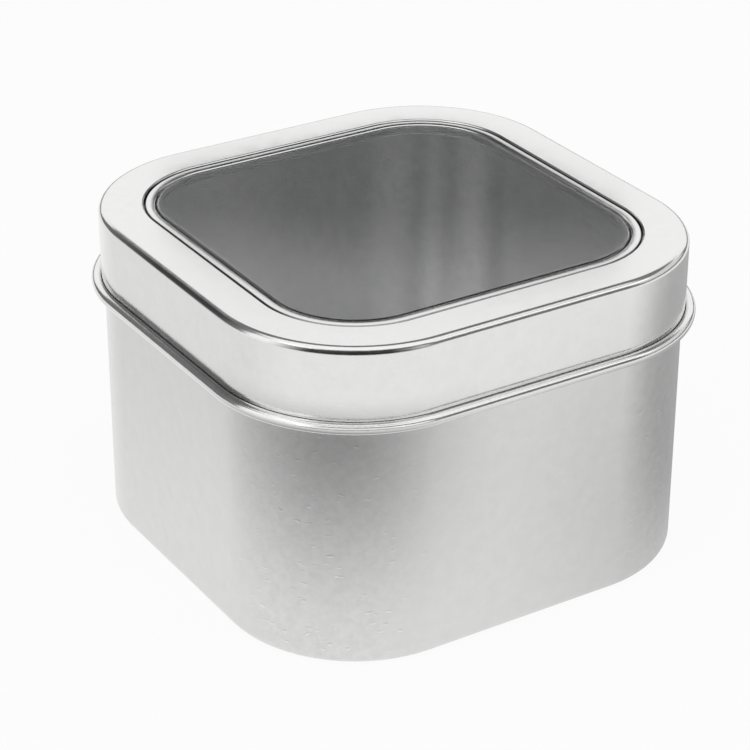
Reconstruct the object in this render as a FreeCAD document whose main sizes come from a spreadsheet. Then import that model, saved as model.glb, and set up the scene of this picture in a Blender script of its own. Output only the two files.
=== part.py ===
# Square slip-lid tin with a clear window in its lid.
# Every piece is sheet: a section of lines and bends carried round one rounded-square outline.
import FreeCAD
import Part
import Sketcher

import math
import os
import re

# Driving sizes in millimetres
DRIVING = [
    ("body_width", 76.0, "outer width of the cup across two flat sides"),
    ("corner_radius", 21.6, "plan radius of the cup's corners, outside"),
    ("overall_height", 52.2, "from the foot ring to the top of the closed lid"),
    ("tinplate", 0.25, "thickness of every metal sheet"),
    ("foot_bend", 1.8, "outside bend from the wall into the foot ring"),
    ("panel_inset", 5.0, "from the cup's outside to the step of the base panel"),
    ("panel_bend", 0.2, "inside radius of the two bends of that step"),
    ("panel_straight", 0.15, "straight part of that step between its bends"),
    ("rim_curl", 1.6, "outside diameter of the cup's rolled rim"),
    ("curl_gap", 0.1, "gap between the end of a rolled edge and the wall that it is rolled from"),
    ("lid_clearance", 0.2, "gap on each side between the cup and the skirt"),
    ("seat_clearance", 0.05, "gap between the cup's rim and the lid that rests on it"),
    ("lid_height", 13.0, "from the bottom of the lid's bead to the top of the lid"),
    ("shoulder_bend", 1.1, "outside bend from the skirt into the flat rim"),
    ("bead", 1.8, "outside diameter of the rolled bead below the skirt"),
    ("rim_width", 6.95, "from the skirt's outside to the opening in the lid"),
    ("tight_bend", 0.1, "inside radius of the sharp bends round the window"),
    ("lip_straight", 0.35, "straight part of the opening's turned-down lip below its bend"),
    ("bezel_gap", 0.2, "open line between the lid's lip and the bezel"),
    ("bezel_drop", 0.15, "how far the bezel's bead lies below the lid's top"),
    ("bezel_flat", 0.3, "flat top of the bezel's bead between its two bends"),
    ("bezel_roll", 0.9, "outside radius of the bead's inner edge"),
    ("bezel_lip", 0.55, "straight part of the bezel's inner lip below that edge"),
    ("stack_gap", 0.05, "gap between pieces that lie on each other in the lid"),
    ("rim_gap", 0.4, "gap between the cup's rolled rim and the window's flanges"),
    ("pane_sheet", 0.35, "thickness of the clear sheet"),
    ("pane_gap", 0.15, "gap between the bezel's inner lip and the pane's wall"),
    ("pane_bend", 0.15, "inside radius of the pane's two folds"),
    ("pane_drop", 0.1, "how far the pane's flat top lies below the lid's top"),
    ("pane_margin", 0.2, "gap between the pane's flange and the retainer's wall"),
    ("retainer_inset", 0.6, "from the pane's wall to the inner edge of the retainer"),
    ("retainer_bend", 0.2, "inside radius of the retainer's bend"),
    ("join_land", 1.0, "flat sheet carried past the last bend to where the middle begins"),
]

# Places worked out from the driving sizes: distances from the middle, and heights above the foot ring
PLACES = {
    "cup_out": "body_width / 2",
    "cup_in": "cup_out - tinplate",
    "step_under": "cup_out - panel_inset",
    "step_over": "step_under + tinplate",
    "panel_join": "step_under - panel_bend - join_land",
    "foot_inside": "foot_bend - tinplate",
    "panel_outside": "panel_bend + tinplate",
    "panel_lift": "panel_outside + panel_straight + panel_bend",
    "panel_top": "panel_lift + tinplate",
    "rim_top": "overall_height - tinplate - seat_clearance",
    "rim_roll": "rim_curl / 2",
    "rim_middle": "cup_out - rim_roll",
    "rim_level": "rim_top - rim_roll",
    "rim_end": "cup_in - curl_gap",
    "skirt_in": "cup_out + lid_clearance",
    "skirt_out": "skirt_in + tinplate",
    "bead_roll": "bead / 2",
    "bead_middle": "skirt_in + bead_roll",
    "bead_level": "overall_height - lid_height + bead_roll",
    "bead_end": "skirt_out + curl_gap",
    "lid_under": "overall_height - tinplate",
    "shoulder_inside": "shoulder_bend - tinplate",
    "opening": "skirt_out - rim_width",
    "opening_back": "opening + tinplate",
    "tight_outside": "tight_bend + tinplate",
    "lip_end": "overall_height - tight_outside - lip_straight",
    "bezel_wall": "opening - bezel_gap",
    "bezel_wall_back": "bezel_wall - tinplate",
    "bezel_inside": "bezel_wall - tight_outside - bezel_flat - bezel_roll",
    "bezel_inside_back": "bezel_inside + tinplate",
    "bezel_top": "overall_height - bezel_drop",
    "bezel_under": "bezel_top - tinplate",
    "bezel_roll_inside": "bezel_roll - tinplate",
    "bezel_end": "bezel_top - bezel_roll - bezel_lip",
    "flange_out": "cup_out - rim_curl - rim_gap",
    "flange_top": "lip_end - stack_gap",
    "flange_under": "flange_top - tinplate",
    "pane_wall": "bezel_inside - pane_gap",
    "pane_wall_back": "pane_wall - pane_sheet",
    "pane_top": "overall_height - pane_drop",
    "pane_under": "pane_top - pane_sheet",
    "pane_outside": "pane_bend + pane_sheet",
    "pane_join": "pane_wall_back - pane_bend - join_land",
    "pane_flange": "bezel_end - stack_gap",
    "pane_flange_under": "pane_flange - pane_sheet",
    "retainer_wall": "flange_out - tinplate",
    "pane_edge": "retainer_wall - pane_margin",
    "retainer_edge": "pane_wall + retainer_inset",
    "retainer_top": "pane_flange_under - stack_gap",
    "retainer_under": "retainer_top - tinplate",
    "retainer_end": "flange_under - stack_gap",
    "retainer_outside": "retainer_bend + tinplate",
}

doc = FreeCAD.newDocument("WindowLidTin")
sheet = doc.addObject("Spreadsheet::Sheet", "Dimensions")
for row, (alias, number, note) in enumerate(DRIVING, start=1):
    sheet.set(f"A{row}", alias)
    sheet.set(f"B{row}", str(number))
    sheet.setAlias(f"B{row}", alias)
    sheet.set(f"C{row}", note)
doc.recompute()
CELLS = {alias for alias, number, note in DRIVING}


def formula(text):
    """Write a formula in named sizes and places as one in cells of the sheet."""
    def spell(found):
        word = found.group(0)
        if word in CELLS:
            return f"{sheet.Name}.{word}"
        return f"({formula(PLACES[word])})"
    return re.sub(r"[a-z_]+", spell, text)


def value(text):
    """Number that a formula gives now, used to lay geometry out before it is constrained."""
    return float(sheet.evalExpression(formula(text)))


def bind(sketch, kind, where, text):
    """Add one dimension to a sketch and drive it by a formula in cells."""
    index = sketch.addConstraint(Sketcher.Constraint(kind, *where, value(text)))
    name = f"size_{index}"
    sketch.renameConstraint(index, name)
    sketch.setExpression(f"Constraints.{name}", formula(text))


def new_sketch(body, name, role):
    """Sketch on one of the body's own origin planes."""
    sketch = body.newObject("Sketcher::SketchObject", name)
    plane = [item for item in body.Origin.OriginFeatures if item.Role == role][0]
    sketch.AttachmentSupport = [(plane, "")]
    sketch.MapMode = "FlatFace"
    return sketch


def point(across, along):
    """Point of a sketch."""
    return FreeCAD.Vector(across, along, 0)


def add_bend(sketch, corner, before, after, radius):
    """Arc that rounds a square corner, with the numbers of its ends in the order of travel."""
    centre = corner - before * radius + after * radius
    first = corner - before * radius - centre
    last = corner + after * radius - centre
    left_turn = before.x * after.y - before.y * after.x > 0
    if not left_turn:
        first, last = last, first
    start = math.atan2(first.y, first.x)
    circle = Part.Circle(centre, FreeCAD.Vector(0, 0, 1), radius)
    arc = sketch.addGeometry(Part.ArcOfCircle(circle, start, start + math.pi / 2), False)
    return (arc, 1, 2) if left_turn else (arc, 2, 1)


def section(body, name, edges):
    """Closed section of upright and level lines; each edge is (kind, place, bend at its end)."""
    sketch = new_sketch(body, name, "XZ_Plane")
    count = len(edges)
    corners = []
    for number, (kind, place, bend) in enumerate(edges):
        other = edges[(number + 1) % count][1]
        across, along = (place, other) if kind == "upright" else (other, place)
        corners.append(point(value(across), value(along)))
    ways = [(corners[i] - corners[i - 1]).normalize() for i in range(count)]
    radii = [value(bend) if bend else 0.0 for kind, place, bend in edges]
    lines = []
    for i in range(count):
        start = corners[i - 1] + ways[i] * radii[i - 1]
        end = corners[i] - ways[i] * radii[i]
        lines.append(sketch.addGeometry(Part.LineSegment(start, end), False))
    for i, (kind, place, bend) in enumerate(edges):
        after = (i + 1) % count
        if bend:
            arc, near, far = add_bend(sketch, corners[i], ways[i], ways[after], radii[i])
            sketch.addConstraint(Sketcher.Constraint("Tangent", lines[i], 2, arc, near))
            sketch.addConstraint(Sketcher.Constraint("Tangent", arc, far, lines[after], 1))
            bind(sketch, "Radius", (arc,), bend)
        else:
            sketch.addConstraint(Sketcher.Constraint("Coincident", lines[i], 2, lines[after], 1))
    for i, (kind, place, bend) in enumerate(edges):
        upright = kind == "upright"
        sketch.addConstraint(Sketcher.Constraint("Vertical" if upright else "Horizontal", lines[i]))
        if value(place) == 0:
            sketch.addConstraint(Sketcher.Constraint("PointOnObject", lines[i], 1, -1))
        else:
            bind(sketch, "DistanceX" if upright else "DistanceY", (-1, 1, lines[i], 1), place)
    doc.recompute()
    return sketch


def curl_section(body, name, middle, level, roll, begin, end):
    """Section of a rolled edge: two arcs about one centre, begun level with it and ended at a place."""
    sketch = new_sketch(body, name, "XZ_Plane")
    centre = point(value(middle), value(level))
    radii = {"outer": value(roll), "inner": value(roll) - value("tinplate")}
    first = math.radians(begin)
    tilt = math.acos((value(end) - value(middle)) / value(roll))
    last = 2 * math.pi - tilt if begin == 0 else 2 * math.pi + tilt
    normal = FreeCAD.Vector(0, 0, 1)
    arcs = {}
    for side, radius in radii.items():
        arc = Part.ArcOfCircle(Part.Circle(centre, normal, radius), first, last)
        arcs[side] = sketch.addGeometry(arc, False)
    caps = []
    for angle, number in ((first, 1), (last, 2)):
        spoke = point(math.cos(angle), math.sin(angle))
        line = Part.LineSegment(centre + spoke * radii["inner"], centre + spoke * radii["outer"])
        cap = sketch.addGeometry(line, False)
        sketch.addConstraint(Sketcher.Constraint("Coincident", cap, 1, arcs["inner"], number))
        sketch.addConstraint(Sketcher.Constraint("Coincident", cap, 2, arcs["outer"], number))
        caps.append(cap)
    sketch.addConstraint(Sketcher.Constraint("Coincident", arcs["outer"], 3, arcs["inner"], 3))
    sketch.addConstraint(Sketcher.Constraint("Horizontal", caps[0]))
    sketch.addConstraint(Sketcher.Constraint("PointOnObject", arcs["outer"], 3, caps[1]))
    bind(sketch, "DistanceX", (-1, 1, arcs["outer"], 3), middle)
    bind(sketch, "DistanceY", (-1, 1, arcs["outer"], 3), level)
    bind(sketch, "Radius", (arcs["outer"],), roll)
    bind(sketch, "Radius", (arcs["inner"],), f"{roll} - tinplate")
    bind(sketch, "DistanceX", (-1, 1, arcs["outer"], 2), end)
    doc.recompute()
    return sketch


def outline(body, name, half, radius):
    """Rounded square about the middle, begun half way along its +X side."""
    sketch = new_sketch(body, name, "XY_Plane")
    size = value(half)
    bend = value(radius)
    corners = [point(size, size), point(-size, size), point(-size, -size), point(size, -size)]
    ways = [point(0, 1), point(-1, 0), point(0, -1), point(1, 0), point(0, 1)]
    begin = point(size, 0)
    starts = [begin] + [corners[i] + ways[i + 1] * bend for i in range(4)]
    ends = [corners[i] - ways[i] * bend for i in range(4)] + [begin]
    lines = [sketch.addGeometry(Part.LineSegment(a, b), False) for a, b in zip(starts, ends)]
    for i in range(4):
        arc, near, far = add_bend(sketch, corners[i], ways[i], ways[i + 1], bend)
        sketch.addConstraint(Sketcher.Constraint("Tangent", lines[i], 2, arc, near))
        sketch.addConstraint(Sketcher.Constraint("Tangent", arc, far, lines[i + 1], 1))
        bind(sketch, "Radius", (arc,), radius)
    sketch.addConstraint(Sketcher.Constraint("Coincident", lines[4], 2, lines[0], 1))
    sketch.addConstraint(Sketcher.Constraint("PointOnObject", lines[0], 1, -1))
    for i in (0, 2, 4):
        sketch.addConstraint(Sketcher.Constraint("Vertical", lines[i]))
    for i in (1, 3):
        sketch.addConstraint(Sketcher.Constraint("Horizontal", lines[i]))
    bind(sketch, "DistanceX", (-1, 1, lines[0], 1), half)
    bind(sketch, "DistanceY", (-1, 1, lines[1], 1), half)
    bind(sketch, "DistanceX", (lines[2], 1, -1, 1), half)
    bind(sketch, "DistanceY", (lines[3], 1, -1, 1), half)
    doc.recompute()
    return sketch


def new_body(label):
    """Empty piece, placed at the middle of the foot ring."""
    body = doc.addObject("PartDesign::Body", label)
    body.Label = label
    body.Placement = FreeCAD.Placement()
    return body


def carry(body, name, profile, path):
    """Carry a section once round the path."""
    pipe = body.newObject("PartDesign::AdditivePipe", name)
    pipe.Profile = profile
    pipe.Spine = path
    pipe.Mode = "Standard"
    pipe.Transition = "Transformed"
    doc.recompute()
    return pipe


def fill_middle(body, name, join, level, thickness):
    """Flat sheet inside the join, flush with the carried section that it meets."""
    sketch = outline(body, name + "_outline", join, f"corner_radius - cup_out + {join}")
    sketch.setExpression("AttachmentOffset.Base.z", formula(level))
    doc.recompute()
    pad = body.newObject("PartDesign::Pad", name)
    pad.Profile = sketch
    pad.setExpression("Length", formula(thickness))
    doc.recompute()
    return pad


def make_tin_body():
    """Seamless cup: raised base panel, foot ring, upright wall and a rim rolled inwards."""
    body = new_body("tin_body")
    path = outline(body, "cup_path", "cup_out", "corner_radius")
    wall = section(body, "cup_section", [
        ("upright", "panel_join", None),
        ("level", "panel_lift", "panel_bend"),
        ("upright", "step_under", "panel_outside"),
        ("level", "0", "foot_bend"),
        ("upright", "cup_out", None),
        ("level", "rim_level", None),
        ("upright", "cup_in", "foot_inside"),
        ("level", "tinplate", "panel_bend"),
        ("upright", "step_over", "panel_outside"),
        ("level", "panel_top", None),
    ])
    carry(body, "cup_wall", wall, path)
    curl = curl_section(body, "rim_section", "rim_middle", "rim_level", "rim_roll", 0, "rim_end")
    carry(body, "cup_rim", curl, path)
    fill_middle(body, "base_panel", "panel_join", "panel_lift", "tinplate")
    return body


def make_lid_shell():
    """Slip lid: rolled bead, skirt, shoulder, flat rim and the turned-down lip of the opening."""
    body = new_body("lid_shell")
    path = outline(body, "lid_path", "cup_out", "corner_radius")
    cap = section(body, "lid_section", [
        ("level", "bead_level", None),
        ("upright", "skirt_out", "shoulder_bend"),
        ("level", "overall_height", "tight_outside"),
        ("upright", "opening", None),
        ("level", "lip_end", None),
        ("upright", "opening_back", "tight_bend"),
        ("level", "lid_under", "shoulder_inside"),
        ("upright", "skirt_in", None),
    ])
    carry(body, "lid_cap", cap, path)
    curl = curl_section(body, "bead_section", "bead_middle", "bead_level", "bead_roll", 180, "bead_end")
    carry(body, "lid_bead", curl, path)
    return body


def make_window_bezel():
    """Ring in the opening: flange under the lid, low bead, inner edge rolled down to a lip."""
    body = new_body("window_bezel")
    path = outline(body, "bezel_path", "cup_out", "corner_radius")
    ring = section(body, "bezel_section", [
        ("upright", "flange_out", None),
        ("level", "flange_top", "tight_bend"),
        ("upright", "bezel_wall", "tight_outside"),
        ("level", "bezel_top", "bezel_roll"),
        ("upright", "bezel_inside", None),
        ("level", "bezel_end", None),
        ("upright", "bezel_inside_back", "bezel_roll_inside"),
        ("level", "bezel_under", "tight_bend"),
        ("upright", "bezel_wall_back", "tight_outside"),
        ("level", "flange_under", None),
    ])
    carry(body, "bezel_ring", ring, path)
    return body


def make_window_pane():
    """Clear sheet formed as a shallow tray turned over: flange, wall and flat top."""
    body = new_body("window_pane")
    path = outline(body, "pane_path", "cup_out", "corner_radius")
    tray = section(body, "pane_section", [
        ("upright", "pane_edge", None),
        ("level", "pane_flange", "pane_bend"),
        ("upright", "pane_wall", "pane_outside"),
        ("level", "pane_top", None),
        ("upright", "pane_join", None),
        ("level", "pane_under", "pane_bend"),
        ("upright", "pane_wall_back", "pane_outside"),
        ("level", "pane_flange_under", None),
    ])
    carry(body, "pane_border", tray, path)
    fill_middle(body, "pane_middle", "pane_join", "pane_under", "pane_sheet")
    return body


def make_window_retainer():
    """Ring of angle section that holds the pane's flange up and stands under the bezel's flange."""
    body = new_body("window_retainer")
    path = outline(body, "retainer_path", "cup_out", "corner_radius")
    angle = section(body, "retainer_section", [
        ("upright", "retainer_edge", None),
        ("level", "retainer_top", "retainer_bend"),
        ("upright", "retainer_wall", None),
        ("level", "retainer_end", None),
        ("upright", "flange_out", "retainer_outside"),
        ("level", "retainer_under", None),
    ])
    carry(body, "retainer_ring", angle, path)
    return body


def check(item):
    """Stop when an object of the document is in error, or when a piece has no sound solid."""
    bad_states = {"Invalid", "Error"} & set(item.State)
    if bad_states:
        raise RuntimeError(f"{item.Name}: {sorted(bad_states)}")
    shape = getattr(item, "Shape", None)
    if item.isDerivedFrom("PartDesign::Feature") and (shape.isNull() or not shape.isValid()):
        raise RuntimeError(f"{item.Name}: unsound shape")


pieces = [
    make_tin_body(),
    make_lid_shell(),
    make_window_bezel(),
    make_window_pane(),
    make_window_retainer(),
]
doc.recompute()
for item in doc.Objects:
    check(item)
os.makedirs("parts", exist_ok=True)
for piece in pieces:
    if piece.Shape.isNull() or not piece.Shape.isValid() or len(piece.Shape.Solids) != 1:
        raise RuntimeError(f"{piece.Label}: not one sound solid")
    piece.Shape.exportStep(f"parts/{piece.Label}.step")
    box = piece.Shape.BoundBox
    print(piece.Label, round(piece.Shape.Volume, 2), [round(size, 3) for size in
          (box.XMin, box.YMin, box.ZMin, box.XMax, box.YMax, box.ZMax)])
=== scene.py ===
"""Looks of a rounded-square tin with a slip lid and a clear window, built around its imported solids."""
import math

import bpy
import numpy as np
from bpy.props import FloatProperty, FloatVectorProperty, IntProperty, PointerProperty
from mathutils import Matrix, Vector


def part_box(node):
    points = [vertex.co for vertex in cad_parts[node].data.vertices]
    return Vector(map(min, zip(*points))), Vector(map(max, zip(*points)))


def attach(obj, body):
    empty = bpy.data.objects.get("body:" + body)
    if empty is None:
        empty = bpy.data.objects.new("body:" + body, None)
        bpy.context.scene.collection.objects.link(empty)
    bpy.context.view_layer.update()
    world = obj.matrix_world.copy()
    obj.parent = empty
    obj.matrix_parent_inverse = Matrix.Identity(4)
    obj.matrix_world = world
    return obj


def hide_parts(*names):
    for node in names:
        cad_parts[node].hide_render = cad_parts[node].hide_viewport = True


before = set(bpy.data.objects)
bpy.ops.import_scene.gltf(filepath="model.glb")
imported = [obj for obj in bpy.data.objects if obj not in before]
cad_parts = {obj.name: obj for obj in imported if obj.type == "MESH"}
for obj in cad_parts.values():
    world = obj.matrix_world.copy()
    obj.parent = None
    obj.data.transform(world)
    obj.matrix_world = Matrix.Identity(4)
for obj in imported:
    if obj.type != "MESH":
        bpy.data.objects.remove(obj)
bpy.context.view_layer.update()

bl_info = {
    "name": "Window Lid Tin",
    "version": (1, 0, 0),
    "blender": (4, 5, 0),
    "location": "3D View > Sidebar > Tin",
    "description": "Builds the sheet-metal tin, its window lid and a small studio",
    "category": "Add Mesh",
}

CUP_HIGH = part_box("tin_body")[1]
LID_LOW, LID_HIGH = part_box("lid_shell")
RING_LOW, RING_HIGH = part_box("window_bezel")
PANE_LOW, PANE_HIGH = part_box("window_pane")
CLAMP_LOW, CLAMP_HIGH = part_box("window_retainer")

# Each lamp's name, level, bearing and height in degrees, distance, width and height in metres
LAMPS = (
    ("back_lamp", "back_level", 147.4, 25.5, 0.8, 1.34, 0.414),
    ("top_lamp", "top_level", -32.6, 80.0, 0.8, 1.3, 0.8),
    ("front_lamp", "front_level", -35.0, 24.0, 1.2, 1.6, 0.66),
    ("left_lamp", "left_level", -91.0, 25.0, 0.8, 0.72, 0.72),
    ("right_lamp", "right_level", 8.8, 18.0, 0.8, 0.3, 0.3),
    ("high_right_lamp", "right_level", 46.0, 40.0, 0.8, 0.4, 0.24),
    ("far_right_lamp", "far_level", 72.0, 25.0, 1.0, 1.0, 0.5),
)
LAMP_AIM = 0.03  # height in metres of the point that the lamps face
SENSOR_WIDTH = 36.0  # millimetres

# Rings that close a cap, as shares of its edge, and the shares of its half size where a floor flag fades
CAP_SHARES = (0.75, 0.5, 0.25)
FLOOR_FADE_SHARES = (0.4, 1.05)

# Spans of noise that are spread over a full range, and the shares of each bump that show
GRAIN_SPAN = (0.25, 0.75)
MOTTLE_SPAN = (0.3, 0.7)
HAZE_SPAN = (0.35, 0.75)
WAVE_SHARE, PEEL_SHARE, GRAIN_SHARE, DENT_SHARE, CLEAR_SHARE = 0.25, 0.6, 0.35, 0.5, 0.1

# Scuffs: turn of their cells in radians, the cells that hold one, and a scuff's core and edge in its cell
SCUFF_TURN = (0.6, 0.5, 0.3)
SCUFF_PICK = (0.46, 0.6)
SCUFF_CORE = (0.05, 0.25)


def length(name, description, default):
    """Length of the tin in metres, shown in the scene's units."""
    return FloatProperty(name=name, description=description, default=default, unit="LENGTH", precision=5)


def share(name, description, default, high=1.0):
    """Plain number between zero and a limit."""
    return FloatProperty(name=name, description=description, default=default, min=0.0, max=high)


def whole(name, description, default, least=2):
    """Whole number of facets, rows or rings."""
    return IntProperty(name=name, description=description, default=default, min=least)


def pair(name, description, default):
    """Two lengths in metres: where something begins and where it ends, or a place on the floor."""
    return FloatVectorProperty(name=name, description=description, default=default, size=2, unit="LENGTH",
                               precision=5)


def in_degrees(name, description, degrees):
    """Angle given in degrees and kept in radians."""
    return FloatProperty(name=name, description=description, default=math.radians(degrees), subtype="ANGLE")


def colour(name, description, default):
    """Linear colour shown as a swatch."""
    return FloatVectorProperty(name=name, description=description, default=default, subtype="COLOR",
                               min=0.0, max=1.0)


class TinSizes(bpy.types.PropertyGroup):
    """Sheet, bends and gaps of the metal and the clear sheet; outer sizes come from the solids."""

    sheet: length("Sheet", "Thickness of the metal sheet", 0.00025)
    corner: length("Corner", "Plan radius of the cup's corners", 0.0216)
    foot_bend: length("Foot bend", "Outside bend from the wall into the foot ring", 0.0018)
    panel_inset: length("Panel inset", "From the cup's outside to the base panel's step", 0.005)
    panel_bend: length("Panel bend", "Inside radius of the base panel's step", 0.0002)
    panel_straight: length("Panel straight", "Straight part of the base panel's step", 0.00015)
    rim_curl: length("Rim curl", "Outside diameter of the cup's rolled rim", 0.0016)
    curl_gap: length("Curl gap", "Gap at the end of a rolled edge", 0.0001)
    bead: length("Bead", "Outside diameter of the rolled bead below the skirt", 0.0018)
    shoulder: length("Shoulder", "Outside bend from the skirt into the flat rim", 0.0011)
    rim_width: length("Rim width", "From the skirt's outside to the opening", 0.00695)
    tight_bend: length("Tight bend", "Inside radius of the sharp bends round the window", 0.00004)
    lip_straight: length("Lip straight", "Straight part of the opening's lip", 0.00041)
    stack_gap: length("Stack gap", "Gap between pieces that lie on each other in the lid", 0.00005)
    ring_gap: length("Ring gap", "Open line between the lid and the window's ring", 0.0002)
    ring_flat: length("Ring flat", "Flat top of the window's ring", 0.00042)
    ring_crown: length("Ring crown", "Radius of the ring's slow fall towards the window", 0.006)
    ring_slope: in_degrees("Ring slope", "Slope at the end of the ring's slow fall", 5.0)
    ring_roll: length("Ring roll", "Outside radius of the ring's inner edge", 0.00035)
    clear_sheet: length("Clear sheet", "Thickness of the clear sheet", 0.00035)
    clear_gap: length("Clear gap", "Gap between the ring and the clear sheet's wall", 0.00008)
    clear_bend: length("Clear bend", "Inside radius of the clear sheet's folds", 0.00008)
    clamp_inset: length("Clamp inset", "From the clear sheet's wall to the clamp's edge", 0.0006)
    clamp_bend: length("Clamp bend", "Inside radius of the clamp's bend", 0.0002)
    join_land: length("Join land", "Flat sheet past the last bend", 0.001)
    # Painted shade: the open line round the window's ring is painted darker for the shade deep in it; these
    # four place that band.
    crease_shade_edge: length("Crease shade edge", "Soft edge of the dust in the open line round the ring", 0.0001)
    crease_shade_depth: length("Crease shade depth", "How far down the open line the dust is seen", 0.001)
    crease_shade_sink: length("Crease shade sink", "How far below the ring's top the dust is full", 0.00012)
    crease_shade_rim: length("Crease shade rim", "How far past the opening the dust is full", 0.0002)
    bend_steps: whole("Bend steps", "Facets across each bend", 10)
    curl_steps: whole("Curl steps", "Facets round each rolled edge", 40, 8)
    corner_steps: whole("Corner steps", "Facets round each corner", 40, 4)
    side_steps: whole("Side steps", "Facets along each flat side", 8, 1)


class TinFinish(bpy.types.PropertyGroup):
    """Colours and surface of the metal and the clear sheet."""

    cup_metal: colour("Cup metal", "Reflectance of the cup's tinplate", (0.70, 0.70, 0.695))
    lid_metal: colour("Lid metal", "Reflectance of the lid's tinplate", (0.79, 0.79, 0.785))
    cup_roughness: share("Cup roughness", "Satin of the cup's metal", 0.22)
    lid_roughness: share("Lid roughness", "Satin of the lid's metal", 0.17)
    grain: length("Grain", "Size of the metal's fine grain", 0.00032)
    mottle: length("Mottle", "Size of the cloudy patches on the metal", 0.0022)
    peel: length("Peel", "Size of the uneven skin at the drawn corners", 0.0013)
    wave: length("Wave", "Size of the slow waves in the metal sheet", 0.03)
    drawn_from: length("Drawn from", "From a middle plane to where a corner's marks begin", 0.016)
    drawn_full: length("Drawn full", "From a middle plane to where a corner's marks are full", 0.026)
    scuff: length("Scuff", "Spacing of the small scuffs at the drawn corners", 0.0026)
    # Painted shade and highlight: a scuff's colour is darker over it and lighter this far below it.
    scuff_highlight_drop: length("Scuff edge", "From a scuff's dark edge up to its bright one", 0.00025)
    scuff_drift: length("Scuff drift", "How far the outlines of the scuffs wander", 0.0012)
    scuff_flat: share("Scuff flat", "How many times wider than high a scuff is", 3.6, 10.0)
    # Wear scales the real dents and skin, and the painted shade and highlight on the scuffs.
    cup_wear_and_shading: share("Cup wear", "How strongly the scuffs show on the cup", 0.2)
    lid_wear_and_shading: share("Lid wear", "How strongly the scuffs show on the lid", 0.03)
    peel_tone: share("Peel tone", "Part of the wear that shows in the skin's tone", 0.28)
    grain_tone: share("Grain tone", "How much the grain lightens and darkens the metal", 0.015)
    mottle_tone: share("Mottle tone", "How much the patches lighten and darken the metal", 0.025)
    satin_spread: share("Satin spread", "How much the patches vary the satin", 0.03)
    # Painted shade: share of the metal's tone that is left in the open line round the window's ring.
    crease_shade_tone: share("Crease shade tone", "Share of the metal's tone that is left under the dust", 0.12)
    wave_depth: length("Wave depth", "Depth of the metal's slow waves", 0.00012)
    grain_depth: length("Grain depth", "Depth of the metal's grain", 0.000018)
    peel_depth: length("Peel depth", "Depth of the uneven skin at full wear", 0.00006)
    dent_depth: length("Dent depth", "Depth of the scuffs at full wear", 0.0002)
    haze: length("Haze", "Size of the clear sheet's hazy patches", 0.00714)
    clear_wave: length("Clear wave", "Size of the clear sheet's slow waves", 0.0286)
    clear_wave_depth: length("Clear wave depth", "Depth of the clear sheet's slow waves", 0.00006)
    clear_gloss: share("Clear gloss", "Roughness of the clear sheet where it is clearest", 0.02)
    clear_haze: share("Clear haze", "Roughness of the clear sheet where it is haziest", 0.05)
    clear_tint: colour("Clear tint", "Colour of the clear sheet", (0.97, 0.985, 0.98))
    clear_index: FloatProperty(name="Clear index", description="Refractive index of the clear sheet",
                               default=1.45, min=1.0, max=2.5)


class TinStage(bpy.types.PropertyGroup):
    """Camera, floor and lamps of the studio."""

    azimuth: in_degrees("Azimuth", "Camera's bearing round the tin", -32.5)
    elevation: in_degrees("Elevation", "Camera's height above the horizon", 28.06)
    roll: in_degrees("Roll", "Tilt of the camera about its own axis", 0.33)
    distance: length("Distance", "From the camera to the point that it looks at", 0.404)
    look_height: length("Look height", "Height of the point that the camera looks at", 0.0228)
    lens: FloatProperty(name="Lens", description="Focal length in millimetres", default=123.8)
    shift_x: FloatProperty(name="Shift X", description="Sideways shift of the frame", default=-0.01947)
    shift_y: FloatProperty(name="Shift Y", description="Upward shift of the frame", default=0.0140)
    floor_colour: colour("Floor", "Colour of the floor", (0.93, 0.93, 0.93))
    floor_white: share("Floor white", "How much the floor itself is lit up as a white ground", 0.92)
    floor_half: length("Floor half", "Half the floor's width", 3.0)
    room: share("Room", "Dim light of the room round the lamps", 0.18)
    back_level: share("Back lamp", "Radiance of the wide lamp behind the tin", 0.9, 4.0)
    top_level: share("Top lamp", "Radiance of the lamp overhead", 0.95, 4.0)
    front_level: share("Front lamp", "Radiance of the wide lamp behind the camera", 0.8, 4.0)
    left_level: share("Left lamp", "Radiance of the tall lamp on the left", 0.93, 4.0)
    right_level: share("Right lamp", "Radiance of the two lamps on the right", 1.0, 4.0)
    far_level: share("Far right lamp", "Radiance of the wide lamp on the far right", 0.6, 4.0)


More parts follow.
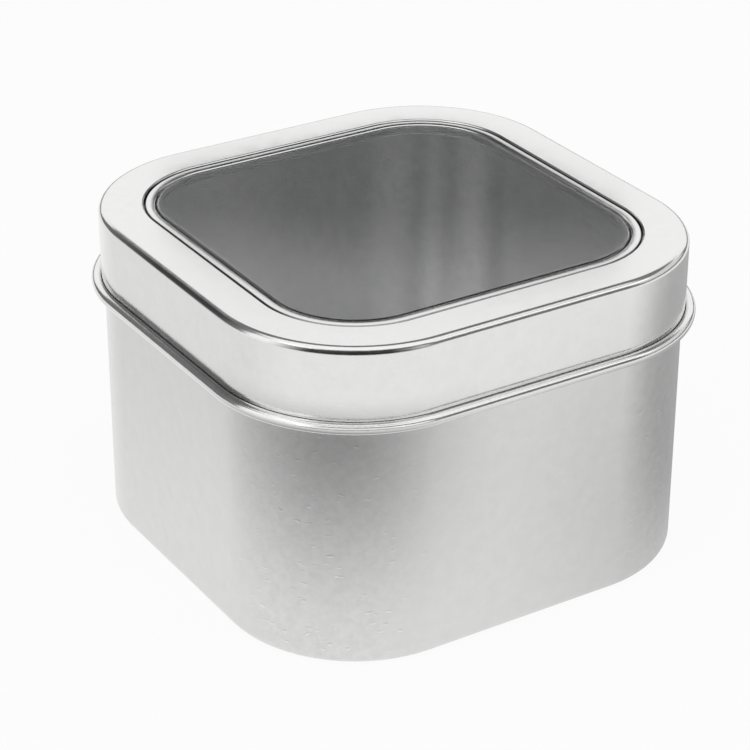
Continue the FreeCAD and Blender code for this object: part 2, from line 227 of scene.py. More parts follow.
class TinFlags(bpy.types.PropertyGroup):
    """Dark flags that only gloss sees; heights are from the floor, and runs from the near corner's middle."""

    front_gap: length("Front gap", "From the cup's wall to the flag round its near corner", 0.00445)
    front_middle: in_degrees("Front middle", "Turn of the path at the middle of the front flag", 229.0)
    front_runs: pair("Front runs", "Ends of the front flag along the path", (-0.075, 0.05))
    front_rises: pair("Front rises", "Bottom and top of the front flag", (0.0, 0.066))
    front_tone: share("Front tone", "Tone of the front flag's cloth", 0.01)
    wall_shade: share("Wall shade", "Darkest part of the band on the cup's wall", 0.66)
    wall_half: length("Wall half", "Half the run of the band on the cup's wall", 0.038)
    wall_grow: pair("Wall grow", "Heights between which that band grows", (-0.002, 0.040))
    wall_fade: pair("Wall fade", "Heights between which that band fades", (0.0350, 0.0425))
    corner_grow: pair("Corner grow", "Runs between which the shoulder's near band grows", (-0.014, -0.004))
    corner_fade: pair("Corner fade", "Runs between which the shoulder's near band fades", (0.010, 0.023))
    left_shade: share("Left shade", "Darkest part of the shoulder's left band", 0.75)
    left_grow: pair("Left grow", "Runs between which the shoulder's left band grows", (-0.072, -0.046))
    left_fade: pair("Left fade", "Runs between which the shoulder's left band fades", (-0.032, -0.020))
    band_grow: pair("Band grow", "Heights between which the shoulder's bands grow", (0.0497, 0.0507))
    band_fade: pair("Band fade", "Heights between which the shoulder's bands fade", (0.0548, 0.0566))
    left_lift: pair("Left lift", "How much higher the left band fades", (0.005, 0.008))
    floor_lift: length("Floor lift", "Height of the flags on the floor", 0.0003)
    floor_tone: share("Floor tone", "Tone of the cloth of the flags on the floor", 0.15)
    # The floor flag on the right is painted shadow: it stands in for the tin's shadow on the floor, seen only
    # in reflections.
    right_middle: pair("Right middle", "Middle of the floor flag on the right", (0.1, 0.0))
    right_half: pair("Right half", "Half the sizes of the floor flag on the right", (0.11, 0.125))
    right_shade: share("Right shade", "Darkest part of the floor flag on the right", 0.6)
    far_middle: pair("Far middle", "Middle of the floor flag behind on the left", (-0.115, 0.085))
    far_half: pair("Far half", "Half the sizes of the floor flag behind on the left", (0.09, 0.13))
    far_shade: share("Far shade", "Darkest part of the floor flag behind on the left", 0.12)
    glare_depth: length("Glare depth", "From the tin's middle back to the flag against glare", 0.054)
    glare_grow: pair("Glare grow", "Depths on the pane between which the glare is cut", (-0.034, 0.006))
    glare_edge: share("Glare edge", "Share of the pane past which that flag fades", 0.965)
    glare_tone: share("Glare tone", "Tone of the cloth of the flag against glare", 0.02)
    front_steps: whole("Front steps", "Stations along the front flag", 126)
    rise_steps: whole("Rise steps", "Rows up the front flag", 133)
    floor_steps: whole("Floor steps", "Rows and columns of a floor flag", 33)
    glare_steps: whole("Glare steps", "Rings of the flag against glare", 58)


SETTINGS = {"tin_sizes": TinSizes, "tin_finish": TinFinish, "tin_stage": TinStage, "tin_flags": TinFlags}


# Sections and the path that carries them

def straight(*corners):
    """Run of straight lines through the corners, with the sheet on the left of the travel.

    Each line's normal is its direction turned a quarter to the right.
    """
    pieces = []
    for start, end in zip(corners, corners[1:]):
        ends = np.array([start, end], dtype=float)
        way = (ends[1] - ends[0]) / np.linalg.norm(ends[1] - ends[0])
        pieces.append((ends, np.tile([way[1], -way[0]], (2, 1))))
    return pieces


def bend(centre, radius, begin, end, steps):
    """Arc about a centre between two angles in degrees: centre + radius (cos, sin).

    Normals point away from the centre when the angle grows and towards it when it falls.
    """
    angle = np.radians(np.linspace(begin, end, steps + 1))
    spoke = np.stack([np.cos(angle), np.sin(angle)], axis=1)
    side = 1.0 if end > begin else -1.0
    return [(np.array(centre) + radius * spoke, side * spoke)]


def rolled_edge(middle, radius, sheet, begin, stop, steps):
    """Curl of sheet about a middle: along its outside, round its end and back along its inside."""
    outside = bend(middle, radius, begin, stop, steps)
    tip, spoke = outside[0][0][-1], outside[0][1][-1]
    return outside + straight(tip, tip - spoke * sheet) + bend(middle, radius - sheet, stop, begin, steps)


def core_half(sizes):
    """Half the inner square about whose corners the path turns."""
    return CUP_HIGH[0] - sizes.corner


def skirt_face(sizes):
    """Outside of the lid's skirt."""
    return LID_HIGH[0] - sizes.bead + sizes.sheet


def opening_edge(sizes):
    """Edge of the opening in the lid."""
    return skirt_face(sizes) - sizes.rim_width


def path_round(sizes):
    """Rounded square as a core point and an outward direction per station.

    A straight side slides the core point along the inner square and keeps the direction; a corner keeps the
    core point and turns the direction. A section's point at distance x lies at core + (x - core half) out.
    """
    half = core_half(sizes)
    turn = np.linspace(0.0, math.pi / 2, sizes.corner_steps, endpoint=False)
    slide = np.linspace(-half, half, sizes.side_steps, endpoint=False)
    angle = np.concatenate([np.zeros(sizes.side_steps), turn])
    core = np.concatenate([np.stack([np.full(sizes.side_steps, half), slide], axis=1),
                           np.full((sizes.corner_steps, 2), half)])
    quarters = np.arange(4) * math.pi / 2
    cosine, sine = np.cos(quarters)[:, None], np.sin(quarters)[:, None]
    cores = np.stack([core[:, 0] * cosine - core[:, 1] * sine,
                      core[:, 0] * sine + core[:, 1] * cosine], axis=2)
    angles = angle[None, :] + quarters[:, None]
    outs = np.stack([np.cos(angles), np.sin(angles)], axis=2)
    return cores.reshape(-1, 2), outs.reshape(-1, 2), half


def carried(pieces, sizes, closed, caps=()):
    """Section carried round the rounded square, with corner normals taken from the section itself.

    The grid's two parameters are the station on the path and the point on the section. An open section's
    ends are filled by caps: (which end, upward normal) shrinks that end's ring towards the middle.
    """
    cores, outs, half = path_round(sizes)
    end_point = [] if closed else [pieces[-1][0][-1:]]
    points = np.concatenate([place[:-1] for place, normal in pieces] + end_point)
    near = np.concatenate([normal[:-1] for place, normal in pieces])
    far = np.concatenate([normal[1:] for place, normal in pieces])
    stations, count, runs = len(cores), len(points), len(near)
    flat = cores[:, None, :] + (points[None, :, 0, None] - half) * outs[:, None, :]
    level = np.broadcast_to(points[None, :, 1, None], (stations, count, 1))
    grid = np.concatenate([flat, level], axis=2).reshape(-1, 3)
    here, run = np.meshgrid(np.arange(stations), np.arange(runs), indexing="ij")
    after, tip = (here + 1) % stations, (run + 1) % count
    quads = np.stack([here * count + run, after * count + run,
                      after * count + tip, here * count + tip], axis=2).reshape(-1, 4)

    def turned(normal, station):
        out = outs[station]
        return np.concatenate([normal[run][..., :1] * out, normal[run][..., 1:]], axis=2)

    normals = np.stack([turned(near, here), turned(near, after),
                        turned(far, after), turned(far, here)], axis=2)
    grids, faces, corner_normals = [grid], [quads], [normals.reshape(-1, 3)]
    start = len(grid)
    for end, upward in caps:
        ring = np.arange(stations) * count + (count - 1 if end else 0)
        shrink = np.array(CAP_SHARES)
        inner = grid[ring][None, :, :] * np.array([1.0, 1.0, 0.0]) * shrink[:, None, None]
        inner[:, :, 2] = grid[ring][:, 2]
        middle = np.array([[0.0, 0.0, grid[ring[0], 2]]])
        grids += [inner.reshape(-1, 3), middle]
        pole = start + len(shrink) * stations
        rings = np.concatenate([ring[None, :], np.arange(start, pole).reshape(-1, stations)])
        one, two = rings[:-1], rings[1:]
        cap = np.stack([one, np.roll(one, -1, axis=1), np.roll(two, -1, axis=1), two], axis=2).reshape(-1, 4)
        fan = np.stack([rings[-1], np.roll(rings[-1], -1), np.full(stations, pole)], axis=1)
        if not upward:
            cap, fan = cap[:, ::-1], fan[:, ::-1]
        faces += [cap, fan]
        corner_normals.append(np.tile([0.0, 0.0, 1.0 if upward else -1.0], (cap.size + fan.size, 1)))
        start = pole + 1
    return np.concatenate(grids), faces, np.concatenate(corner_normals)


def ring_arcs(sizes):
    """Centres of the two arcs of the ring's top, and its lip.

    The crown's centre lies under the end of the flat, and the roll's on the spoke where the crown ends.
    """
    start = opening_edge(sizes) - sizes.ring_gap - sizes.tight_bend - sizes.sheet - sizes.ring_flat
    spoke = np.array([-math.sin(sizes.ring_slope), math.cos(sizes.ring_slope)])
    crown = np.array([start, RING_HIGH[2] - sizes.ring_crown])
    roll = crown + (sizes.ring_crown - sizes.ring_roll) * spoke
    return crown, roll, roll[0] - sizes.ring_roll


def pane_wall(sizes):
    """Outside of the clear pane's upright wall, a small gap inside the ring's lip."""
    return ring_arcs(sizes)[2] - sizes.clear_gap


def new_piece(name, surface, material, body, node):
    """Mesh object from vertices, faces and corner normals, riding on a body in a node's place."""
    vertices, faces, normals = surface
    mesh = bpy.data.meshes.new(name)
    mesh.from_pydata(vertices.tolist(), [], [face for block in faces for face in block.tolist()])
    mesh.shade_smooth()
    mesh.normals_split_custom_set(normals.tolist())
    mesh.materials.append(material)
    piece = bpy.data.objects.new(name, mesh)
    bpy.context.scene.collection.objects.link(piece)
    if mesh.validate(verbose=False):
        raise RuntimeError(f"{name}: the mesh held faults")
    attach(piece, body)
    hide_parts(node)
    return piece


# Materials

def node_tree(material):
    """Empty node tree of a material with its output, and a helper that adds linked nodes."""
    material.use_nodes = True
    tree = material.node_tree
    tree.nodes.clear()

    def add(kind, inputs=None, **settings):
        node = tree.nodes.new(kind)
        for key, value in settings.items():
            setattr(node, key, value)
        for key, value in (inputs or {}).items():
            if isinstance(value, bpy.types.NodeSocket):
                tree.links.new(value, node.inputs[key])
            else:
                node.inputs[key].default_value = value
        return node

    return add


def map_range(add, value, low, high, to_low, to_high):
    """Socket with a value moved from one range to another and clamped there."""
    node = add("ShaderNodeMapRange", {"Value": value, "From Min": low, "From Max": high,
                                      "To Min": to_low, "To Max": to_high})
    return node.outputs["Result"]


def product(add, *factors):
    """Socket with the product of several sockets."""
    total = factors[0]
    for factor in factors[1:]:
        total = add("ShaderNodeMath", {0: total, 1: factor}, operation="MULTIPLY").outputs[0]
    return total


def noise(add, place, size, detail, rough=0.5):
    """Outputs of a noise whose patches have about that size."""
    return add("ShaderNodeTexNoise", {"Vector": place, "Scale": 1.0 / size, "Detail": detail,
                                      "Roughness": rough}).outputs


def bump(add, height, shown, depth, normal=None, sunk=False):
    """Normal of a surface that a height raises, or sinks, by a depth on top of another normal."""
    inputs = {"Height": height, "Strength": shown, "Distance": depth}
    if normal is not None:
        inputs["Normal"] = normal
    return add("ShaderNodeBump", inputs, invert=sunk).outputs["Normal"]


def crease_shade_mask(add, place, sizes):
    """One in the narrow open line round the window's ring and nought elsewhere: the mask of the painted shade
    in that line.

    The distance of a point from the path's core square tells how far out it lies on the section.
    """
    half = core_half(sizes)
    outer = opening_edge(sizes) - half
    inner = outer - sizes.ring_gap - sizes.sheet
    rim = outer + sizes.crease_shade_rim
    top, soft = RING_HIGH[2], sizes.crease_shade_edge
    low = top - sizes.crease_shade_depth

    def vector(operation, *inputs):
        return add("ShaderNodeVectorMath", dict(enumerate(inputs)), operation=operation).outputs

    past = vector("SUBTRACT", vector("ABSOLUTE", place)["Vector"], (half, half, 0.0))["Vector"]
    past = vector("MAXIMUM", past, (0.0, 0.0, 0.0))["Vector"]
    reach = vector("LENGTH", vector("MULTIPLY", past, (1.0, 1.0, 0.0))["Vector"])["Value"]
    level = add("ShaderNodeSeparateXYZ", {"Vector": place}).outputs["Z"]
    return product(add, map_range(add, reach, inner - soft, inner, 0.0, 1.0),
                   map_range(add, reach, rim, rim + soft, 1.0, 0.0),
                   map_range(add, level, top - sizes.crease_shade_sink, top + soft / 10, 1.0, 0.0),
                   map_range(add, level, low - soft, low, 0.0, 1.0))


def tinplate(name, finish, metal, roughness, wear_and_shading, crease=None):
    """Satin tinplate: grain, faint mottling, slow waves, and scuffs with painted shade and highlight and an
    uneven skin at the drawn corners.

    Where crease holds the tin's sizes, the open line round the window is painted darker: painted shade for
    the depth of that line.
    """
    material = bpy.data.materials.new(name)
    add = node_tree(material)
    place = add("ShaderNodeTexCoord").outputs["Object"]
    grain = noise(add, place, finish.grain, detail=2.0, rough=0.6)["Fac"]
    mottle = noise(add, place, finish.mottle, detail=4.0, rough=0.6)["Fac"]
    waves = noise(add, place, finish.wave, detail=0.0)["Fac"]
    skin = noise(add, place, finish.peel, detail=3.0, rough=0.65)["Fac"]
    ragged = noise(add, place, finish.peel, detail=1.0)["Color"]
    across = add("ShaderNodeSeparateXYZ", {"Vector": place})
    offs = [add("ShaderNodeMath", {0: across.outputs[axis]}, operation="ABSOLUTE").outputs[0]
            for axis in "XY"]
    begin, full = finish.drawn_from, finish.drawn_full
    drawn = product(add, *(map_range(add, off, begin, full, 0.0, 1.0) for off in offs))
    peel = product(add, drawn, map_range(add, skin, *GRAIN_SPAN, -1.0, 1.0))

    def scuffs(lift):
        moved = add("ShaderNodeVectorMath", {0: place, 1: (0.0, 0.0, lift)},
                    operation="ADD").outputs["Vector"]
        moved = add("ShaderNodeVectorMath", {0: ragged, 1: (finish.scuff_drift,) * 3, 2: moved},
                    operation="MULTIPLY_ADD").outputs["Vector"]
        turned = add("ShaderNodeMapping", {"Vector": moved, "Rotation": SCUFF_TURN,
                                           "Scale": (1.0, 1.0, finish.scuff_flat)})
        cells = add("ShaderNodeTexVoronoi", {"Vector": turned.outputs["Vector"], "Scale": 1.0 / finish.scuff})
        chosen = map_range(add, cells.outputs["Color"], *SCUFF_PICK, 0.0, 1.0)
        pit = map_range(add, cells.outputs["Distance"], *SCUFF_CORE, 1.0, 0.0)
        return product(add, drawn, chosen, pit)

    def about_one(value, span, depth):
        return map_range(add, value, *span, 1.0 - depth, 1.0 + depth)

    # Painted shade and highlight: the colour is darker over each scuff and lighter just below it, as if lit
    # from above; the dents themselves are real bumps.
    scuff, edge = scuffs(0.0), scuffs(finish.scuff_highlight_drop)
    dent_shade_and_highlight = add("ShaderNodeMath", {0: edge, 1: scuff}, operation="SUBTRACT").outputs[0]
    shade = product(add, about_one(grain, GRAIN_SPAN, finish.grain_tone),
                    about_one(mottle, MOTTLE_SPAN, finish.mottle_tone),
                    about_one(dent_shade_and_highlight, (-1.0, 1.0), wear_and_shading),
                    about_one(peel, (-1.0, 1.0), finish.peel_tone * wear_and_shading))
    # Painted shade: the open line round the window's ring is darkened.
    if crease:
        crease_shade = crease_shade_mask(add, place, crease)
        shade = product(add, shade, map_range(add, crease_shade, 0.0, 1.0, 1.0, finish.crease_shade_tone))
    tone = add("ShaderNodeVectorMath", {0: tuple(metal), "Scale": shade}, operation="SCALE").outputs["Vector"]
    spread = finish.satin_spread
    satin = map_range(add, mottle, *MOTTLE_SPAN, roughness - spread, roughness + spread)
    normal = bump(add, waves, WAVE_SHARE, finish.wave_depth)
    normal = bump(add, peel, PEEL_SHARE, finish.peel_depth * wear_and_shading, normal)
    normal = bump(add, grain, GRAIN_SHARE, finish.grain_depth, normal)
    normal = bump(add, scuff, DENT_SHARE, finish.dent_depth * wear_and_shading, normal, sunk=True)
    shader = add("ShaderNodeBsdfPrincipled", {"Base Color": tone, "Metallic": 1.0, "Roughness": satin,
                                              "Normal": normal})
    add("ShaderNodeOutputMaterial", {"Surface": shader.outputs["BSDF"]})
    return material


def clear_sheet(name, finish):
    """Clear formed plastic: glossy, with a faint haze and slow waves from forming."""
    material = bpy.data.materials.new(name)
    add = node_tree(material)
    place = add("ShaderNodeTexCoord").outputs["Object"]
    haze = noise(add, place, finish.haze, detail=3.0)["Fac"]
    waves = noise(add, place, finish.clear_wave, detail=0.0)["Fac"]
    rough = map_range(add, haze, *HAZE_SPAN, finish.clear_gloss, finish.clear_haze)
    normal = bump(add, waves, CLEAR_SHARE, finish.clear_wave_depth)
    shader = add("ShaderNodeBsdfPrincipled", {"Base Color": (*finish.clear_tint, 1.0), "Roughness": rough,
                                              "IOR": finish.clear_index, "Transmission Weight": 1.0,
                                              "Normal": normal})
    add("ShaderNodeOutputMaterial", {"Surface": shader.outputs["BSDF"]})
    return material


def kept_material(name, make):
    """Material of that name, made the first time it is asked for."""
    return bpy.data.materials.get(name) or make(name)


def cup_metal(finish):
    """Tinplate of the cup."""
    return kept_material("cup_tinplate", lambda name: tinplate(
        name, finish, finish.cup_metal, finish.cup_roughness, finish.cup_wear_and_shading))


def lid_metal(sizes, finish):
    """Tinplate shared by the lid's three metal pieces."""
    return kept_material("lid_tinplate", lambda name: tinplate(
        name, finish, finish.lid_metal, finish.lid_roughness, finish.lid_wear_and_shading, sizes))


# Operators, one for each piece and one for the stage

class TIN_OT_cup(bpy.types.Operator):
    """Draw the cup: base panel, foot ring, wall and a rim rolled inwards"""

    bl_idname = "tin.cup"
    bl_label = "Cup"

    def execute(self, context):
        sizes, finish = context.scene.tin_sizes, context.scene.tin_finish
        out, sheet, steps = CUP_HIGH[0], sizes.sheet, sizes.bend_steps
        inside = out - sheet
        step = out - sizes.panel_inset
        small, large = sizes.panel_bend, sizes.panel_bend + sheet
        lift = small + large + sizes.panel_straight
        join = step - small - sizes.join_land
        foot = sizes.foot_bend
        roll = sizes.rim_curl / 2
        middle = (out - roll, CUP_HIGH[2] - roll)
        stop = 360 - math.degrees(math.acos((inside - sizes.curl_gap - middle[0]) / roll))
        pieces = (
            straight((join, lift), (step - small, lift))
            + bend((step - small, lift - small), small, 90, 0, steps)
            + straight((step, lift - small), (step, large))
            + bend((step + large, large), large, 180, 270, steps)
            + straight((step + large, 0), (out - foot, 0))
            + bend((out - foot, foot), foot, -90, 0, steps)
            + straight((out, foot), (out, middle[1]))
            + rolled_edge(middle, roll, sheet, 0, stop, sizes.curl_steps)
            + straight((inside, middle[1]), (inside, foot))
            + bend((out - foot, foot), foot - sheet, 0, -90, steps)
            + straight((out - foot, sheet), (step + sheet + small, sheet))
            + bend((step + sheet + small, sheet + small), small, 270, 180, steps)
            + straight((step + sheet, sheet + small), (step + sheet, lift - small))
            + bend((step - small, lift - small), large, 0, 90, steps)
            + straight((step - small, lift + sheet), (join, lift + sheet))
        )
        surface = carried(pieces, sizes, False, caps=((0, False), (1, True)))
        new_piece("cup", surface, cup_metal(finish), "tin", "tin_body")
        return {"FINISHED"}


class TIN_OT_lid(bpy.types.Operator):
    """Draw the slip lid: bead, skirt, shoulder, flat rim and the lip of the opening"""

    bl_idname = "tin.lid"
    bl_label = "Lid"

    def execute(self, context):
        sizes, finish = context.scene.tin_sizes, context.scene.tin_finish
        sheet, steps, top = sizes.sheet, sizes.bend_steps, LID_HIGH[2]
        roll = sizes.bead / 2
        middle = (LID_HIGH[0] - roll, LID_LOW[2] + roll)
        skirt_out, opening = skirt_face(sizes), opening_edge(sizes)
        skirt_in = skirt_out - sheet
        shoulder = sizes.shoulder
        small, large = sizes.tight_bend, sizes.tight_bend + sheet
        lip = top - large - sizes.lip_straight
        stop = 360 + math.degrees(math.acos((skirt_out + sizes.curl_gap - middle[0]) / roll))
        pieces = (
            straight((skirt_out, middle[1]), (skirt_out, top - shoulder))
            + bend((skirt_out - shoulder, top - shoulder), shoulder, 0, 90, 2 * steps)
            + straight((skirt_out - shoulder, top), (opening + large, top))
            + bend((opening + large, top - large), large, 90, 180, steps)
            + straight((opening, top - large), (opening, lip), (opening + sheet, lip),
                       (opening + sheet, top - large))
            + bend((opening + large, top - large), small, 180, 90, steps)
            + straight((opening + large, top - sheet), (skirt_out - shoulder, top - sheet))
            + bend((skirt_out - shoulder, top - shoulder), shoulder - sheet, 90, 0, 2 * steps)
            + straight((skirt_in, top - shoulder), (skirt_in, middle[1]))
            + rolled_edge(middle, roll, sheet, 180, stop, sizes.curl_steps)
        )
        surface = carried(pieces, sizes, True)
        new_piece("lid", surface, lid_metal(sizes, finish), "lid", "lid_shell")
        return {"FINISHED"}


class TIN_OT_window_ring(bpy.types.Operator):
    """Draw the metal ring in the opening: flange, low crowned top and inner lip"""

    bl_idname = "tin.window_ring"
    bl_label = "Window ring"

    def execute(self, context):
        sizes, finish = context.scene.tin_sizes, context.scene.tin_finish
        sheet, steps, top = sizes.sheet, sizes.bend_steps, RING_HIGH[2]
        small, large = sizes.tight_bend, sizes.tight_bend + sheet
        wall = opening_edge(sizes) - sizes.ring_gap
        crown, roll, lip = ring_arcs(sizes)
        slope = 90 + math.degrees(sizes.ring_slope)
        flange = LID_HIGH[2] - large - sizes.lip_straight - sizes.stack_gap
        end, out = RING_LOW[2], RING_HIGH[0]
        pieces = (
            straight((out, flange - sheet), (out, flange), (wall + small, flange))
            + bend((wall + small, flange + small), small, 270, 180, steps)
            + straight((wall, flange + small), (wall, top - large))
            + bend((wall - large, top - large), large, 0, 90, steps)
            + straight((wall - large, top), (crown[0], top))
            + bend(crown, sizes.ring_crown, 90, slope, steps)
            + bend(roll, sizes.ring_roll, slope, 180, steps)
            + straight((lip, roll[1]), (lip, end), (lip + sheet, end), (lip + sheet, roll[1]))
            + bend(roll, sizes.ring_roll - sheet, 180, slope, steps)
            + bend(crown, sizes.ring_crown - sheet, slope, 90, steps)
            + straight((crown[0], top - sheet), (wall - large, top - sheet))
            + bend((wall - large, top - large), small, 90, 0, steps)
            + straight((wall - sheet, top - large), (wall - sheet, flange + small))
            + bend((wall + small, flange + small), large, 180, 270, steps)
            + straight((wall + small, flange - sheet), (out, flange - sheet))
        )
        surface = carried(pieces, sizes, True)
        new_piece("window_ring", surface, lid_metal(sizes, finish), "lid", "window_bezel")
        return {"FINISHED"}


class TIN_OT_clear_pane(bpy.types.Operator):
    """Draw the clear pane: flange, wall and flat top of formed sheet"""

    bl_idname = "tin.clear_pane"
    bl_label = "Clear pane"

    def execute(self, context):
        sizes, finish = context.scene.tin_sizes, context.scene.tin_finish
        sheet, steps = sizes.clear_sheet, sizes.bend_steps
        wall = pane_wall(sizes)
        back = wall - sheet
        small, large = sizes.clear_bend, sizes.clear_bend + sheet
        join = back - small - sizes.join_land
        edge, top, low = PANE_HIGH[0], PANE_HIGH[2], PANE_LOW[2]
        pieces = (
            straight((join, top - sheet), (back - small, top - sheet))
            + bend((back - small, top - large), small, 90, 0, steps)
            + straight((back, top - large), (back, low + large))
            + bend((back + large, low + large), large, 180, 270, steps)
            + straight((back + large, low), (edge, low), (edge, low + sheet), (wall + small, low + sheet))
            + bend((wall + small, low + large), small, 270, 180, steps)
            + straight((wall, low + large), (wall, top - large))
            + bend((wall - large, top - large), large, 0, 90, steps)
            + straight((wall - large, top), (join, top))
        )
        clear = kept_material("clear_plastic", lambda name: clear_sheet(name, finish))
        surface = carried(pieces, sizes, False, caps=((0, False), (1, True)))
        new_piece("clear_pane", surface, clear, "lid", "window_pane")
        return {"FINISHED"}


class TIN_OT_clamp(bpy.types.Operator):
    """Draw the clamp: a ring of angle section under the clear pane's flange"""

    bl_idname = "tin.clamp"
    bl_label = "Clamp"

    def execute(self, context):
        sizes, finish = context.scene.tin_sizes, context.scene.tin_finish
        sheet, steps = sizes.sheet, sizes.bend_steps
        edge = pane_wall(sizes) + sizes.clamp_inset
        out, low, end = CLAMP_HIGH[0], CLAMP_LOW[2], CLAMP_HIGH[2]
        small, large = sizes.clamp_bend, sizes.clamp_bend + sheet
        pieces = (
            straight((edge, low), (out - large, low))
            + bend((out - large, low + large), large, 270, 360, steps)
            + straight((out, low + large), (out, end), (out - sheet, end), (out - sheet, low + large))
            + bend((out - large, low + large), small, 0, -90, steps)
            + straight((out - large, low + sheet), (edge, low + sheet), (edge, low))
        )
        surface = carried(pieces, sizes, True)
        new_piece("clamp", surface, lid_metal(sizes, finish), "lid", "window_retainer")
        return {"FINISHED"}


def stage_plane(name, corners, material):
    """Flat stage piece from its corners, in order."""
    mesh = bpy.data.meshes.new(name)
    mesh.from_pydata(corners, [], [list(range(len(corners)))])
    mesh.materials.append(material)
    plane = bpy.data.objects.new(name, mesh)
    bpy.context.scene.collection.objects.link(plane)
    return plane


def seen_rays(add):
    """One for rays from the camera, from gloss and through clear sheet, and nought for the others."""
    rays = add("ShaderNodeLightPath")
    some = add("ShaderNodeMath", {0: rays.outputs["Is Camera Ray"], 1: rays.outputs["Is Glossy Ray"]},
               operation="MAXIMUM")
    return add("ShaderNodeMath", {0: some.outputs[0], 1: rays.outputs["Is Transmission Ray"]},
               operation="MAXIMUM").outputs[0]


def floor_material(stage):
    """White ground: a pale matt floor that takes the shadow, lit up for the rays that see it."""
    material = bpy.data.materials.new("white_floor")
    add = node_tree(material)
    matt = add("ShaderNodeBsdfDiffuse", {"Color": (*stage.floor_colour, 1.0)})
    white = add("ShaderNodeEmission", {"Color": (1.0, 1.0, 1.0, 1.0), "Strength": 1.0})
    part = add("ShaderNodeMath", {0: seen_rays(add), 1: stage.floor_white}, operation="MULTIPLY")
    mix = add("ShaderNodeMixShader", {"Fac": part.outputs[0], 1: matt.outputs[0], 2: white.outputs[0]})
    add("ShaderNodeOutputMaterial", {"Surface": mix.outputs[0]})
    return material


def flag_material(name, level):
    """Dark cloth of a flag, thinned out to nothing by the sheet's own shade attribute."""
    material = bpy.data.materials.new(name)
    add = node_tree(material)
    shade = add("ShaderNodeAttribute", attribute_name="shade").outputs["Fac"]
    dark = add("ShaderNodeEmission", {"Color": (level, level, level, 1.0), "Strength": 1.0})
    clear = add("ShaderNodeBsdfTransparent")
    mix = add("ShaderNodeMixShader", {"Fac": shade, 1: clear.outputs[0], 2: dark.outputs[0]})
    add("ShaderNodeOutputMaterial", {"Surface": mix.outputs[0]})
    return material


def smooth(value, low, high):
    """Soft step from nought at low to one at high."""
    part = np.clip((value - low) / (high - low), 0.0, 1.0)
    return part * part * (3.0 - 2.0 * part)


def between(value, grow, fade):
    """Soft band that grows over one span and fades over another."""
    return smooth(value, *grow) * (1.0 - smooth(value, *fade))


def flag_sheet(name, points, shade, level):
    """Flag from a grid of points and the darkness of each; only gloss sees it."""
    rows, columns = shade.shape
    row, column = np.meshgrid(np.arange(rows - 1), np.arange(columns - 1), indexing="ij")
    first = row * columns + column
    faces = np.stack([first, first + 1, first + columns + 1, first + columns], axis=2).reshape(-1, 4)
    mesh = bpy.data.meshes.new(name)
    mesh.from_pydata(points.reshape(-1, 3).tolist(), [], faces.tolist())
    mesh.attributes.new("shade", "FLOAT", "POINT").data.foreach_set("value", shade.ravel().astype(np.float32))
    mesh.materials.append(flag_material(name + "_cloth", level))
    flag = bpy.data.objects.new(name, mesh)
    bpy.context.scene.collection.objects.link(flag)
    for ray in ("camera", "diffuse", "transmission", "shadow", "volume_scatter"):
        setattr(flag, "visible_" + ray, False)
    return flag


def front_flag(sizes, flags):
    """Upright flag that follows the near corner and its two sides at a small gap.

    A point is the path's place at a run along it, from the corner's middle, and a height. Two bands of
    darkness follow the height: one that grows up the cup's wall and a narrow one at the shoulder.
    """
    half, reach, middle = core_half(sizes), sizes.corner + flags.front_gap, flags.front_middle
    runs, rises = np.meshgrid(np.linspace(*flags.front_runs, flags.front_steps),
                              np.linspace(*flags.front_rises, flags.rise_steps), indexing="ij")
    turn = np.clip(middle + runs / reach, math.pi, 1.5 * math.pi)
    slide = runs - reach * (turn - middle)
    points = np.stack([-half + reach * np.cos(turn) + np.maximum(slide, 0.0),
                       -half + reach * np.sin(turn) - np.minimum(slide, 0.0), rises], axis=2)
    near = np.cos(np.clip(runs / flags.wall_half, -1.0, 1.0) * math.pi / 2) ** 2
    wall = flags.wall_shade * near * between(rises, flags.wall_grow, flags.wall_fade)
    corner = between(runs, flags.corner_grow, flags.corner_fade)
    left = between(runs, flags.left_grow, flags.left_fade)
    fade = [level + lift * left for level, lift in zip(flags.band_fade, flags.left_lift)]
    shoulder = (corner + flags.left_shade * left) * between(rises, flags.band_grow, fade)
    return flag_sheet("front_flag", points, np.minimum(wall + shoulder, 1.0), flags.front_tone)


def floor_flag(name, middle, half, darkest, flags):
    """Flat flag on the floor: an oval about a middle that thins out to its edge."""
    steps = np.linspace(-1.0, 1.0, flags.floor_steps)
    along, across = np.meshgrid(steps, steps, indexing="ij")
    points = np.stack([middle[0] + half[0] * along, middle[1] + half[1] * across,
                       np.full_like(along, flags.floor_lift)], axis=2)
    shade = darkest * (1.0 - smooth(np.hypot(along, across), *FLOOR_FADE_SHARES))
    return flag_sheet(name, points, shade, flags.floor_tone)


def glare_flag(sizes, stage, flags):
    """Flag behind the tin that keeps the back lamp's glare off the far part of the pane.

    Its outline is the pane's own, thrown by the pane's mirror onto an upright plane: a point p goes to
    p + k r, where r is the line of sight turned up by the mirror and k takes it to the plane.
    """
    cores, outs, half = path_round(sizes)
    parts = np.linspace(0.0, 1.0, flags.glare_steps)
    edge = cores + (pane_wall(sizes) - half) * outs
    flat = parts[:, None, None] * edge[None, :, :]
    points = np.concatenate([flat, np.full((*flat.shape[:2], 1), PANE_HIGH[2])], axis=2)
    points = np.concatenate([points, points[:, :1]], axis=1)
    sight = points - np.array(camera_place(stage))
    sight[:, :, 2] *= -1.0
    back = -np.array(facing_out(stage.azimuth, 0.0))
    depth = points @ back
    thrown = points + ((flags.glare_depth - depth) / (sight @ back))[:, :, None] * sight
    shade = (1.0 - smooth(parts, flags.glare_edge, 1.0))[:, None] * smooth(depth, *flags.glare_grow)
    return flag_sheet("glare_flag", thrown, shade, flags.glare_tone)


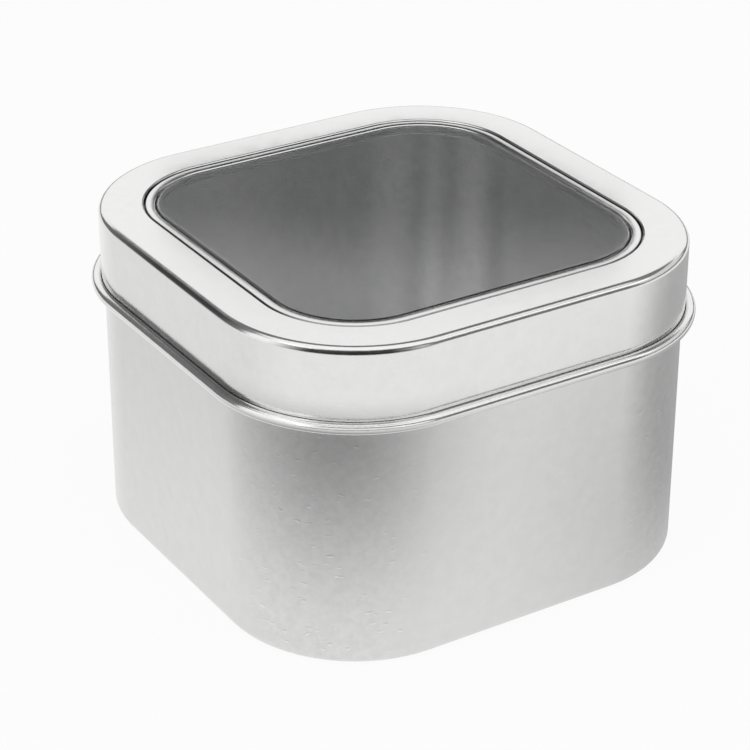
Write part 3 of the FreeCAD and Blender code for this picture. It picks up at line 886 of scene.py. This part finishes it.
def camera_place(stage):
    """Where the camera stands, from its bearing, height and distance."""
    return Vector((0.0, 0.0, stage.look_height)) + facing_out(stage.azimuth, stage.elevation) * stage.distance


def facing_out(bearing, rise):
    """Unit vector from the tin towards a bearing and a height, both angles."""
    return Vector((math.sin(bearing) * math.cos(rise), -math.cos(bearing) * math.cos(rise), math.sin(rise)))


def soft_lamp(name, bearing, rise, distance, width, height, level):
    """Rectangular lamp that faces the tin; a level of one is a white surface's radiance."""
    data = bpy.data.lights.new(name, "AREA")
    data.shape = "RECTANGLE"
    data.size, data.size_y = width, height
    data.energy = level * math.pi * width * height
    lamp = bpy.data.objects.new(name, data)
    bpy.context.scene.collection.objects.link(lamp)
    back = facing_out(math.radians(bearing), math.radians(rise))
    right = Vector((math.cos(math.radians(bearing)), math.sin(math.radians(bearing)), 0.0))
    turned = Matrix((right, back.cross(right), back)).transposed().to_4x4()
    lamp.matrix_world = Matrix.Translation(back * distance + Vector((0.0, 0.0, LAMP_AIM))) @ turned
    return lamp


def dim_room(stage):
    """World of even dim light round the lamps."""
    world = bpy.data.worlds.new("dim_room")
    world.use_nodes = True
    background = world.node_tree.nodes["Background"]
    background.inputs["Color"].default_value = (1.0, 1.0, 1.0, 1.0)
    background.inputs["Strength"].default_value = stage.room
    return world


def studio_camera(stage):
    """Camera at the stage's bearing, height and distance, rolled about its own axis."""
    data = bpy.data.cameras.new("camera")
    data.sensor_width, data.lens = SENSOR_WIDTH, stage.lens
    data.shift_x, data.shift_y = stage.shift_x, stage.shift_y
    camera = bpy.data.objects.new("camera", data)
    bpy.context.scene.collection.objects.link(camera)
    back = facing_out(stage.azimuth, stage.elevation)
    right = Vector((math.cos(stage.azimuth), math.sin(stage.azimuth), 0.0))
    turned = Matrix((right, back.cross(right), back)).transposed() @ Matrix.Rotation(stage.roll, 3, "Z")
    camera.matrix_world = Matrix.Translation(camera_place(stage)) @ turned.to_4x4()
    return camera


class TIN_OT_stage(bpy.types.Operator):
    """Set the floor, the flags, the lamps and the camera"""

    bl_idname = "tin.stage"
    bl_label = "Stage"

    def execute(self, context):
        scene = context.scene
        sizes, stage, flags = scene.tin_sizes, scene.tin_stage, scene.tin_flags
        half = stage.floor_half
        stage_plane("floor", [(-half, -half, 0.0), (half, -half, 0.0), (half, half, 0.0), (-half, half, 0.0)],
                    floor_material(stage))
        scene.world = dim_room(stage)
        front_flag(sizes, flags)
        # Painted shadow: the right flag stands in for the tin's shadow on the floor, seen only in the metal.
        floor_flag("right_flag", flags.right_middle, flags.right_half, flags.right_shade, flags)
        floor_flag("left_flag", flags.far_middle, flags.far_half, flags.far_shade, flags)
        glare_flag(sizes, stage, flags)
        for name, level, *place in LAMPS:
            soft_lamp(name, *place, getattr(stage, level))
        scene.camera = studio_camera(stage)
        scene.view_settings.view_transform = "Standard"
        return {"FINISHED"}


class TIN_PT_panel(bpy.types.Panel):
    """Buttons and values of the tin"""

    bl_idname = "TIN_PT_panel"
    bl_label = "Window Lid Tin"
    bl_space_type = "VIEW_3D"
    bl_region_type = "UI"
    bl_category = "Tin"

    def draw(self, context):
        for operator in OPERATORS:
            self.layout.operator(operator.bl_idname)
        for name, group in SETTINGS.items():
            box = self.layout.box()
            for key in group.__annotations__:
                box.prop(getattr(context.scene, name), key)


OPERATORS = (TIN_OT_cup, TIN_OT_lid, TIN_OT_window_ring, TIN_OT_clear_pane, TIN_OT_clamp, TIN_OT_stage)
CLASSES = (*SETTINGS.values(), *OPERATORS, TIN_PT_panel)


def register():
    for kind in CLASSES:
        bpy.utils.register_class(kind)
    for name, group in SETTINGS.items():
        setattr(bpy.types.Scene, name, PointerProperty(type=group))


def unregister():
    for name in SETTINGS:
        delattr(bpy.types.Scene, name)
    for kind in reversed(CLASSES):
        bpy.utils.unregister_class(kind)


def main():
    register()
    bpy.ops.tin.cup()
    bpy.ops.tin.lid()
    bpy.ops.tin.window_ring()
    bpy.ops.tin.clear_pane()
    bpy.ops.tin.clamp()
    bpy.ops.tin.stage()


if __name__ == "__main__":
    main()
